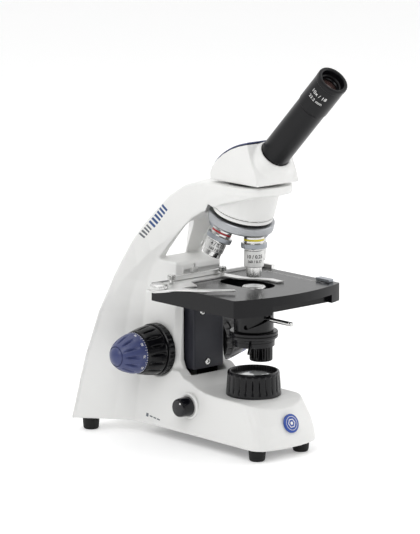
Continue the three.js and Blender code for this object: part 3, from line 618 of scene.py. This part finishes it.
def coarse_knob(side):
    """Scooped black knob and the knurled tension ring inboard of it."""
    flank = flowing([(22.9, 11), (22.5, 15), (21.6, 20), (20.4, 25)])
    profile = [(4.9, 8.4), (21.6, 8.4), (22.6, 8.9), (22.9, 9.8), *flank, (19.9, 27.2), (19.5, 28.1),
               (18.9, 28.5), (4.9, 28.5)]
    turned(f"coarse_grip_{side}", profile, KNOB_FRAMES[side], "coarse_drive", [PLASTIC],
           [f"coarse_knob_{side}"], 240, hollows(16, 11.0, 26.4, 1.7, 4, 0.7), edge=0)
    ring = [(5, 0.3), (23.2, 0.3), (24, 1.0), *finer([(24, 1.6), (24, 6.8)], 0.8), (24, 7.2), (23.2, 8.0),
            (5, 8.0)]
    turned(f"tension_grip_{side}", ring, KNOB_FRAMES[side], f"tension_{side}", [PLASTIC],
           [f"tension_ring_{side}"], 288, hollows(24, 0.9, 7.4, 0.7, 6, 0.5), edge=0)


def stage_knobs():
    """The two coaxial knobs below the stage: X at the end, Y above it."""
    lower = [(0, 69), (9.6, 69), (10.5, 69.5), (10.7, 70.3), *finer([(10.7, 71), (10.7, 82.6)], 1.2),
             (10.7, 83.2), (10.1, 84), (2.7, 84), (2.7, 71.7), (0, 71.7)]
    turned("x_grip", lower, XY_KNOBS, "x_drive", [PLASTIC], ["x_knob"], 216,
           hollows(24, 69.4, 84.4, 0.8, 1.2, 0.25), edge=0)
    upper = [(2.7, 84.4), (11.6, 84.4), (12.4, 84.9), (12.6, 85.6),
             *finer([(12.6, 86.2), (12.6, 93.6)], 1.2), (12.6, 94.6), (11.6, 95.8), (7, 96), (7, 130),
             (2.7, 130)]
    turned("y_grip", upper, XY_KNOBS, "y_drive", [PLASTIC], ["y_knob"], 216,
           hollows(24, 84.8, 95.6, 0.8, 1.2, 0.25), edge=0)


def dial():
    """Brightness knob with a painted highlight (a white dot near its crown), and the collar it turns in."""
    grip = [(0, -9), (3, -9), (3, 2.2), (9, 2.2), (9.15, 2.9), (9.0, 5), (8.7, 10), (8.4, 12.8), (7.9, 14),
            (6.8, 14.6), (0, 14.7)]
    turned("dial_grip", grip, DIAL, "brightness", [GLOSSY], ["brightness_knob"], edge=0.2)
    # Painted highlight: a small white disc set off the centre of the crown, where the glint falls.
    glint_disc = [(0, 14.62), (0.9, 14.62), (0.9, 14.85), (0, 14.9)]
    off_centre = Matrix.Translation((0.0046, -0.0036, 0))
    turned("dial_painted_glint", glint_disc, DIAL @ off_centre, "brightness", [INK_WHITE], segments=32,
           edge=0)
    bezel = [(4, 0), (12, 0), (12, 0.7), (11.5, 1.5), (10.6, 1.9), (9.7, 1.7), (9.4, 1.1), (4, 1.1)]
    turned("dial_bezel", bezel, DIAL, "stand", [WHITE], ["dial_collar"], edge=0.1)


# ---- lamp, feet and badge -----------------------------------------------------------------------
def illuminator():
    """Scooped lamp ring with a finely ribbed mouth, its reflector and its domed window."""
    outer = [(25, 51.4), (25, 52.6), *finer([(24.95, 53.2), (23.75, 70)], 1.0), (23.6, 71.6), (23.2, 72.6),
             (22.5, 73)]
    inner = [(21.2, 73), (20.6, 72.7), *finer([(20.3, 72), (19.1, 66.6)], 1.0), (18.9, 66), (18.9, 51.4)]
    scoops = hollows(24, 54.4, 70.6, 1.1, 4, 0.6)

    def shape(r, z, a):
        if r > 22.3:
            return scoops(r, z, a)
        if 66.8 < z < 72.4:
            return r + 0.5 * max(0.0, math.cos(48 * a)) ** 3, z
        return r, z

    turned("lamp_ring", outer + inner, UPRIGHT, "stand", [PLASTIC], ["illuminator_ring"],
           384, shape, edge=0)
    dish = [(0, 60.3), (3, 60.3), (3.2, 61.2), (9, 62.2), (14, 64), (18, 67.2), (18.7, 67.2), (18.7, 59.6),
            (0, 59)]
    turned("lamp_reflector", dish, UPRIGHT, "stand", [REFLECTOR], ["lamp_holder"], edge=0.1)
    dome = flowing([(18.4, 68), (15, 69.2), (10, 70.3), (5, 70.9), (0, 71.1)], 5)
    turned("lamp_window", [(0, 67.6), (18.4, 67.6), *dome], UPRIGHT, "stand", [WINDOW],
           ["field_lens"], edge=0)


def feet():
    flank = flowing([(6.0, 0.15), (6.9, 0.9), (7.3, 2.6), (7.6, 6), (7.9, 10.4)], 4)
    profile = [(0, 0), (5.2, 0), *flank, (7.5, 10.7), (0, 10.7)]
    for node in ("foot_front_left", "foot_front_right", "foot_rear_left", "foot_rear_right"):
        foot_low, foot_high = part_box(node)
        middle = Matrix.Translation(((foot_low.x + foot_high.x) / 2, (foot_low.y + foot_high.y) / 2, 0))
        turned(f"{node}_pad", profile, middle, "stand", [RUBBER], [node], 64, edge=0)


def badge():
    """Round blue badge with a plain motif: a hexagon, a dot and a thin ring."""
    disc = [(0, -0.7), (8.6, -0.7), (8.6, 0.5), (8.3, 0.85), (7.6, 1.0), (0, 1.0)]
    turned("badge_disc", disc, BADGE, "stand", [BADGE_BLUE], ["badge"], 64, edge=0.1)
    motif = [revolve([(3.5, 0.9), (4.3, 0.9), (4.3, 1.08), (3.5, 1.08)], 6),
             revolve([(0, 0.9), (1.5, 0.9), (1.5, 1.08), (0, 1.1)], 32),
             revolve([(6.0, 0.9), (6.35, 0.9), (6.35, 1.08), (6.0, 1.08)], 64)]
    piece = linked("badge_motif", merged(motif), BADGE, [INK_WHITE])
    attach(piece, "stand")


# ---- tube and eyepiece --------------------------------------------------------------------------
SLEEVE_END = 31.7  # lower end of the eyepiece sleeve; it stays inside the tube over the whole pull
FIGURES_FACE = math.radians(204)


def eyepiece():
    tube = [(11.8, -3.6), (13.5, -3.6), (13.5, 67.3), (13.2, 67.55), (11.8, 67.55)]
    turned("tube_barrel", tube, TUBE, "head", [TUBE_BLACK], ["tube"], edge=0.15)
    outer = [(9.6, SLEEVE_END), (11.5, SLEEVE_END), (11.5, 67.85), (13.7, 67.85), (14.1, 68.3), (14.1, 97.4),
             (14.0, 97.8), (14.25, 98.0), (14.35, 98.6), (14.35, 101.6), (14.1, 102.4), (13.4, 102.8),
             (11.9, 102.8)]
    cup = flowing([(11.3, 102.5), (10.9, 101.6), (10.5, 99.6), (10.2, 97.4)], 4)
    inner = [*cup, (9.6, 97.0), (9.0, 96.8), (9.0, 88), (9.6, 84)]
    turned("eyepiece_barrel", outer + inner, TUBE, "ocular", [TUBE_BLACK], ["eyepiece"],
           edge=0.12)
    dome = flowing([(8.2, 92.9), (5, 94.0), (2.5, 94.5), (0, 94.7)], 4)
    turned("eye_lens_glass", [(0, 89.7), (8.7, 89.7), (8.7, 92.4), *dome], TUBE, "ocular", [COATED],
           ["eye_lens"], 64, edge=0)
    rim = [(8.0, 93.0), (8.95, 93.0), (8.95, 94.9), (8.6, 95.1), (8.0, 94.2)]
    turned("eye_lens_rim", rim, TUBE, "ocular", [BLACK_TURNED], segments=64, edge=0.08)
    words = [text_mesh("10x / 18", 5.0, around(14.12, 89.6, FIGURES_FACE)),
             text_mesh("23.2 mm", 4.2, around(14.12, 83.2, FIGURES_FACE))]
    piece = linked("eyepiece_figures", merged(words), TUBE, [INK_WHITE])
    attach(piece, "ocular")


# ---- turret and objectives ----------------------------------------------------------------------
SHOULDER = -64  # height of the objectives' shoulders in a seat's frame
THREAD_AND_BAND = 12.6  # length of the threaded collar and the knurled band below the shoulder
OBJECTIVES = (
    # node, seat, length below the shoulder, radius of the tip, colour, figures
    ("objective_10x", 0, 37.2, 6.6, "yellow", ("10 / 0.25", "160 / 0.17")),
    ("objective_4x", -1, 26.4, 8.0, "red", ("4 / 0.10", "160 / 0.17")),
    ("objective_40x", 1, 42.7, 3.6, "blue", ("40 / 0.65", "160 / 0.17")),
    ("objective_100x", 2, 43.0, 3.4, "white", ("100 / 1.25", "160 / 0.17")),
)


def nosepiece():
    rim = [(24, -49.7), (28.6, -49.7), (29.4, -49.9), (29.9, -50.6), *finer([(30, -51), (30, -56.6)], 0.8),
           (29.8, -57.2), (29.2, -57.8)]
    dome = flowing([(28.2, -58.2), (22, -60.4), (15, -62.6), (9, -64.2), (4, -64.7), (0, -64.8)], 4)

    def knurl(r, z, a):
        return r - (0.18 * max(0.0, math.cos(120 * a)) if r > 29.95 else 0), z

    turned("turret_disc", [(0, -49.7), *rim, *dome], TURRET, "nosepiece", [ALUMINIUM],
           ["turret"], 360, knurl, edge=0)
    neck = [(0, -44.4), (26.4, -44.4, 1), (27.6, -44.4, 1), (27.5, -47.3), (26.3, -47.4), (26.3, -49.2),
            (0, -49.2)]
    turned("turret_neck", neck, TURRET, "stand", [BLACK, WHITE], ["turret_seat"], edge=0.1)


def objective(node, place, length, tip, ring_color, figures):
    """One objective in seat `place`, counted in quarter turns of the turret."""
    matrix = TURRET @ turn(place * 90, "Z") @ turn(-TURRET_TILT, "X")
    body = length - THREAD_AND_BAND

    def z(depth):
        return SHOULDER - depth

    def knurl(r, height, a):
        return r - (0.22 * max(0.0, math.cos(40 * a)) if 11.72 < r < 11.8 else 0), height

    collar = [(0, z(-4)), (8.4, z(-4)), (8.4, z(0.3)), (9.0, z(0.3)), (9.25, z(0.7)), (9.25, z(2.3)),
              (9.0, z(2.4)), (9.0, z(4.0)), (9.25, z(4.1)), (9.25, z(5.7)), (9.0, z(6.0))]
    band = [(11.2, z(6.2), 1), (11.7, z(6.5), 1), (11.75, z(7.2), 1), (11.75, z(9.8), 1), (11.7, z(10.5), 1),
            (11.2, z(10.8), 1), (9.4, z(10.95)), (9.4, z(11.7)), (8.3, z(11.8)), (8.3, z(12.6)),
            (8.6, z(12.75))]
    barrel = [(8.85, z(13.1), 2), (8.85, z(12.6 + body * 0.6), 2), (8.7, z(12.8 + body * 0.61))]
    tip_end = [(tip - 0.5, z(length)), (min(3.2, tip - 1), z(length)), (min(3, tip - 1.2), z(length - 1.0)),
               (0, z(length - 1.3))]
    if tip > 5:
        side = tip + 0.3
        nose = [(side, z(12.9 + body * 0.62)), (side, z(length - 0.8)), (side - 0.3, z(length - 0.3))]
    else:
        nose = [(8.35, z(12.8 + body * 0.62)), (8.3, z(12.6 + body * 0.82)), (8.0, z(12.6 + body * 0.84)),
                (tip + 0.4, z(length - 0.9))]
    nose.append((tip, z(length - 0.3)))
    turned(f"{node}_barrel", collar + band + barrel + nose + tip_end, matrix, "nosepiece",
           [CHROME, KNURL, SATIN_CHROME], [node], 160, knurl, edge=0.12)
    ring = [(8.9, z(2.45)), (9.3, z(2.45)), (9.3, z(3.95)), (8.9, z(3.95))]
    turned(f"{node}_color_ring", ring, matrix, "nosepiece", [RING_COLORS[ring_color]], edge=0.1)
    lens = [(0, z(length - 0.5)), (2.4, z(length - 0.5)), (2.4, z(length - 1.4)), (0, z(length - 1.4))]
    turned(f"{node}_front_lens", lens, matrix, "nosepiece", [COATED], segments=32, edge=0)
    facing = math.radians(232 - place * 90)
    middle = 12.8 + body * 0.3
    first, second = figures
    words = [text_mesh(first, 4.4, around(8.87, z(middle - 2.1), facing), 0.12),
             text_mesh(second, 3.4, around(8.87, z(middle + 2.3), facing), 0.1)]
    piece = linked(f"{node}_figures", merged(words), matrix, [INK_BLACK])
    attach(piece, "nosepiece")


# ---- stage, condenser and slide mover -----------------------------------------------------------
STAGE_TOP = 151.0
SLIDE_BAR_TOP = 157.0
BLOCK_SCREWS = (("block_screw_upper", -7.6, 118.6), ("block_screw_lower", -1.6, 71))
HEX_SOCKET = 1.5
THUMB_SCREWS = (("left", -54.7, 49.5), ("right", 6.9, 49.3))


def condenser():
    shell = [(0, 138), (11.0, 138), (11.1, 148.4), (10.7, 149.6), (9.8, 150.3), (8.4, 150.4), (7.9, 150.1),
             (7.7, 149.6), (0, 149.6)]
    turned("condenser_top", shell, UPRIGHT, "condenser_lift", [CHROME], ["condenser_lens"],
           edge=0.1)
    dome = flowing([(7.6, 150.3), (6.2, 150.7), (3.4, 151.0), (0, 151.15)], 4)
    turned("condenser_glass", [(0, 149.7), (7.6, 149.7), *dome], UPRIGHT, "condenser_lift",
           [FROSTED], segments=64, edge=0)
    refined("condenser_sleeve", "stage", BLACK_TURNED, 0.15)
    tube = [(11.4, 103.4), (15.1, 103.4), (15.1, 146), (11.4, 146)]
    turned("condenser_tube", tube, UPRIGHT, "condenser", [BLACK_TURNED],
           ["condenser_barrel"], edge=0.2)
    case = [(15.5, 103.4), (20.6, 103.4), (21.6, 103.8), (22, 104.6), (22, 106.2), (21.3, 106.5),
            (21.3, 107.0), (22, 107.3), (22, 109.2), (21.4, 109.9), (15.5, 110)]
    turned("iris_case", case, UPRIGHT, "condenser", [BLACK_TURNED], ["iris_housing"],
           edge=0.12)
    rod = [(0, 15.4), (1.5, 15.4), (1.5, 22), (2.0, 22.5), (2.0, 46.8), (1.7, 47.1), (1.7, 47.6),
           (2.0, 47.9), (2.0, 49.3), (1.5, 50), (0, 50)]
    turned("lever_rod", rod, pose(0, 0, 122.6, turn(90, "X")), "condenser", [CHROME],
           ["condenser_lever"], 32, edge=0.05)
    refined("iris_lever", "iris", BLACK_TURNED, 0.15)
    refined("filter_tray", "filter", BLACK_TURNED, 0.15)
    refined("tray_pivot", "condenser", STEEL, 0.1)
    refined("filter_glass", "filter", GLASS, 0.1)


def stage():
    refined("stage_plate", "stage", STAGE_BLACK, 0.5, 3, 40)
    refined("vernier_block", "stage", KNURL, 0.3)
    refined("focus_block", "stage", CHARCOAL, 0.9, 3, 40)
    refined("rack", "stage", BRASS, 0.05)
    # The guide's matte black lines the slot inside the white casting: painted shade for the recess.
    refined("focus_guide", "stand", SLOT_SHADE_BLACK, 0.1)

    def hexagon(r, z, a):
        if r != HEX_SOCKET:
            return r, z
        return HEX_SOCKET / math.cos((a % (math.pi / 3)) - math.pi / 6) * 0.9, z

    head = [(0, -0.6), (HEX_SOCKET, -0.6), (HEX_SOCKET, 0.35), (2.4, 0.5), (3.0, 0.1), (3.1, -0.5),
            (3.1, -1.1), (0, -1.1)]
    for node, x, z in BLOCK_SCREWS:
        turned(f"{node}_head", head, pose(x, 60, z, turn(90, "X")), "stage", [CHROME], [node], 48,
               hexagon, edge=0.05)
    stop = [(0, 151.3), (1.9, 151.3), (1.9, 155.6), (2.9, 155.6), (3.3, 156.1),
            *finer([(3.3, 156.3), (3.3, 159)], 0.5), (3.2, 159.3), (2.7, 159.7), (1.2, 159.8), (1.2, 163.6),
            (0.9, 164), (0, 164)]
    turned("stop_screw_body", stop, pose(-14.5, 63.9, 0), "stage", [STEEL], ["stop_screw"],
           shape=hollows(16, 156, 159.5, 0.25, 1, 0.3), edge=0)
    refined("knob_post", "stage", STEEL, 0.1)
    marks = []
    for k in range(26):
        y = 40 - 3 * k
        marks.append((54.6 - tick(k, 4.2, 2.6), 54.6, y - 0.22, y + 0.22))
    scale = mark_mesh(marks, lambda u, v, lift: at(u, v, STAGE_TOP + lift))
    piece = linked("stage_scale", scale, Matrix.Identity(4), [INK_WHITE])
    attach(piece, "stage")


def slide_mover():
    refined("x_rail", "cross_slide", SHEET, 0.15)
    refined("slide_bar", "slide_carriage", SHEET, 0.25)
    refined("slide_holder", "slide_carriage", SHEET, 0.1, 1)
    refined("slide_finger", "clip_finger", SHEET, 0.12, 1)

    def knurl(r, z, a):
        if r > 8.15 and 154.7 < z < 157.4:
            return r - 0.25 * max(0.0, math.cos(44 * a)), z
        return r, z

    cap = [(0, 151.4), (1.6, 151.4), (1.6, 154.6), (7.8, 154.6), (8.2, 154.9),
           *finer([(8.3, 155.2), (8.3, 157)], 0.6), (8.15, 157.4),
           *flowing([(7.6, 158.0), (6, 158.7), (3.4, 159.2), (0, 159.4)], 4)]
    turned("pivot_cap", cap, DISC, "slide_carriage", [CHROME], ["finger_cap"], 264, knurl, edge=0)
    screw = [(0, 152.9), (1.8, 152.9), (1.8, 155.6), (3.2, 155.6), (3.6, 156),
             *finer([(3.6, 156.2), (3.6, 159.4)], 0.5), (3.5, 159.7), (3.0, 160.2), (1.0, 160.3),
             (0.8, 160.0), (0, 160.0)]
    for side, x, y in THUMB_SCREWS:
        turned(f"clamp_screw_{side}", screw, pose(x, y, 0), "slide_carriage", [CHROME],
               [f"thumb_screw_{side}"], 144, hollows(18, 155.9, 159.8, 0.45, 1, 0.2), edge=0)
    marks = [(x - 0.12, x + 0.12, 53.9, 53.9 + tick(k, 2.2, 1.3)) for k, x in enumerate(range(-44, 3, 2))]
    scale = mark_mesh(marks, lambda u, v, lift: at(u, v, SLIDE_BAR_TOP + lift))
    piece = linked("slide_scale", scale, Matrix.Identity(4), [INK_BLACK])
    attach(piece, "slide_carriage")


def small_parts():
    """Parts that keep the CAD's own shape, with their edges taken off."""
    for node, body, slot, material in (
            ("base_plate", "stand", "black_enamel", BLACK),
            ("dc_inlet", "stand", "black_plastic", PLASTIC),
            ("head_ring", "stand", "black_enamel", GLOSSY),
            ("pinion_shaft", "coarse_drive", "satin_steel", STEEL),
            ("fine_shaft", "fine_drive", "satin_steel", STEEL)):
        refined(node, body, material, 0.1)


# ---- studio -------------------------------------------------------------------------------------
PURE_WHITE = (1, 1, 1, 1)
FLOOR_SIZE = 6
FLOOR_GLOW = 0.24
BRIGHT_SIDE = (0.62, 0.69, 0.37)  # the room is brightest in this direction
BRIGHTNESS_FROM, BRIGHTNESS_TO = (-0.9, 0.14), (0.7, 1.0)  # cosine to it, strength there
LAMPS = (
    # name, place, aim, size, power; metres and watts
    ("key", (-1.5, -0.9, 1.7), (0, 0, 0.15), (1.6, 1.6), 22),
    ("fill", (1.5, -0.9, 0.9), (0, 0, 0.15), (1.2, 1.4), 7),
    ("top", (0.1, 0.4, 2.1), (0, 0, 0.1), (2.4, 2.4), 9),
)
SENSOR_HEIGHT = 36
LENS = 207.08
CAMERA_PLACE = (-1835.69, -1975.44, 689.85)
CAMERA_DOWN = 10.967
CAMERA_HEADING = -42.065


def paper_floor():
    mesh = bpy.data.meshes.new("floor")
    builder = bmesh.new()
    bmesh.ops.create_grid(builder, x_segments=2, y_segments=2, size=FLOOR_SIZE)
    builder.to_mesh(mesh)
    builder.free()
    paper = finish("floor_paper", (0.9, 0.9, 0.9), 0.6, tint=0.004, bump=0.02, bump_scale=300, specular=0.1)
    floor = linked("floor", mesh, Matrix.Identity(4), [paper])
    shader = paper.node_tree.nodes["Principled BSDF"]
    socket(shader, "Emission Color", PURE_WHITE)
    socket(shader, "Emission Strength", FLOOR_GLOW)


def room_light(scene):
    """White surroundings that darken smoothly away from the bright side."""
    world = bpy.data.worlds.new("studio")
    scene.world = world
    world.use_nodes = True
    nodes, links = world.node_tree.nodes, world.node_tree.links
    background = nodes["Background"]
    coords = nodes.new("ShaderNodeTexCoord").outputs["Generated"]
    facing = nodes.new("ShaderNodeVectorMath")
    facing.operation = "DOT_PRODUCT"
    facing.inputs[1].default_value = BRIGHT_SIDE
    links.new(coords, facing.inputs[0])
    ramp = nodes.new("ShaderNodeMapRange")
    ramp.interpolation_type = "SMOOTHSTEP"
    ramp.inputs["From Min"].default_value, ramp.inputs["To Min"].default_value = BRIGHTNESS_FROM
    ramp.inputs["From Max"].default_value, ramp.inputs["To Max"].default_value = BRIGHTNESS_TO
    links.new(facing.outputs["Value"], ramp.inputs["Value"])
    links.new(ramp.outputs["Result"], background.inputs["Strength"])
    background.inputs["Color"].default_value = PURE_WHITE


def lamp(scene, name, place, aim, size, power):
    light = bpy.data.lights.new(name, "AREA")
    light.shape = "RECTANGLE"
    light.size, light.size_y = size
    light.energy = power
    holder = bpy.data.objects.new(name, light)
    scene.collection.objects.link(holder)
    holder.location = place
    holder.rotation_euler = (Vector(aim) - Vector(place)).to_track_quat("-Z", "Y").to_euler()


def place_camera(scene):
    data = bpy.data.cameras.new("camera")
    data.sensor_fit = "VERTICAL"
    data.sensor_height = SENSOR_HEIGHT
    data.lens = LENS
    data.clip_start, data.clip_end = 0.05, 50
    camera = bpy.data.objects.new("camera", data)
    scene.collection.objects.link(camera)
    camera.location = at(*CAMERA_PLACE)
    camera.rotation_euler = (math.radians(90 - CAMERA_DOWN), 0, math.radians(CAMERA_HEADING))
    scene.camera = camera


def studio():
    scene = bpy.context.scene
    scene.view_settings.view_transform = "Standard"
    scene.view_settings.look = "None"
    paper_floor()
    room_light(scene)
    for details in LAMPS:
        lamp(scene, *details)
    place_camera(scene)


castings()
for knob_side in KNOB_FRAMES:
    fine_knob(knob_side)
    coarse_knob(knob_side)
stage_knobs()
dial()
illuminator()
feet()
badge()
eyepiece()
nosepiece()
for details in OBJECTIVES:
    objective(*details)
condenser()
stage()
slide_mover()
small_parts()
studio()
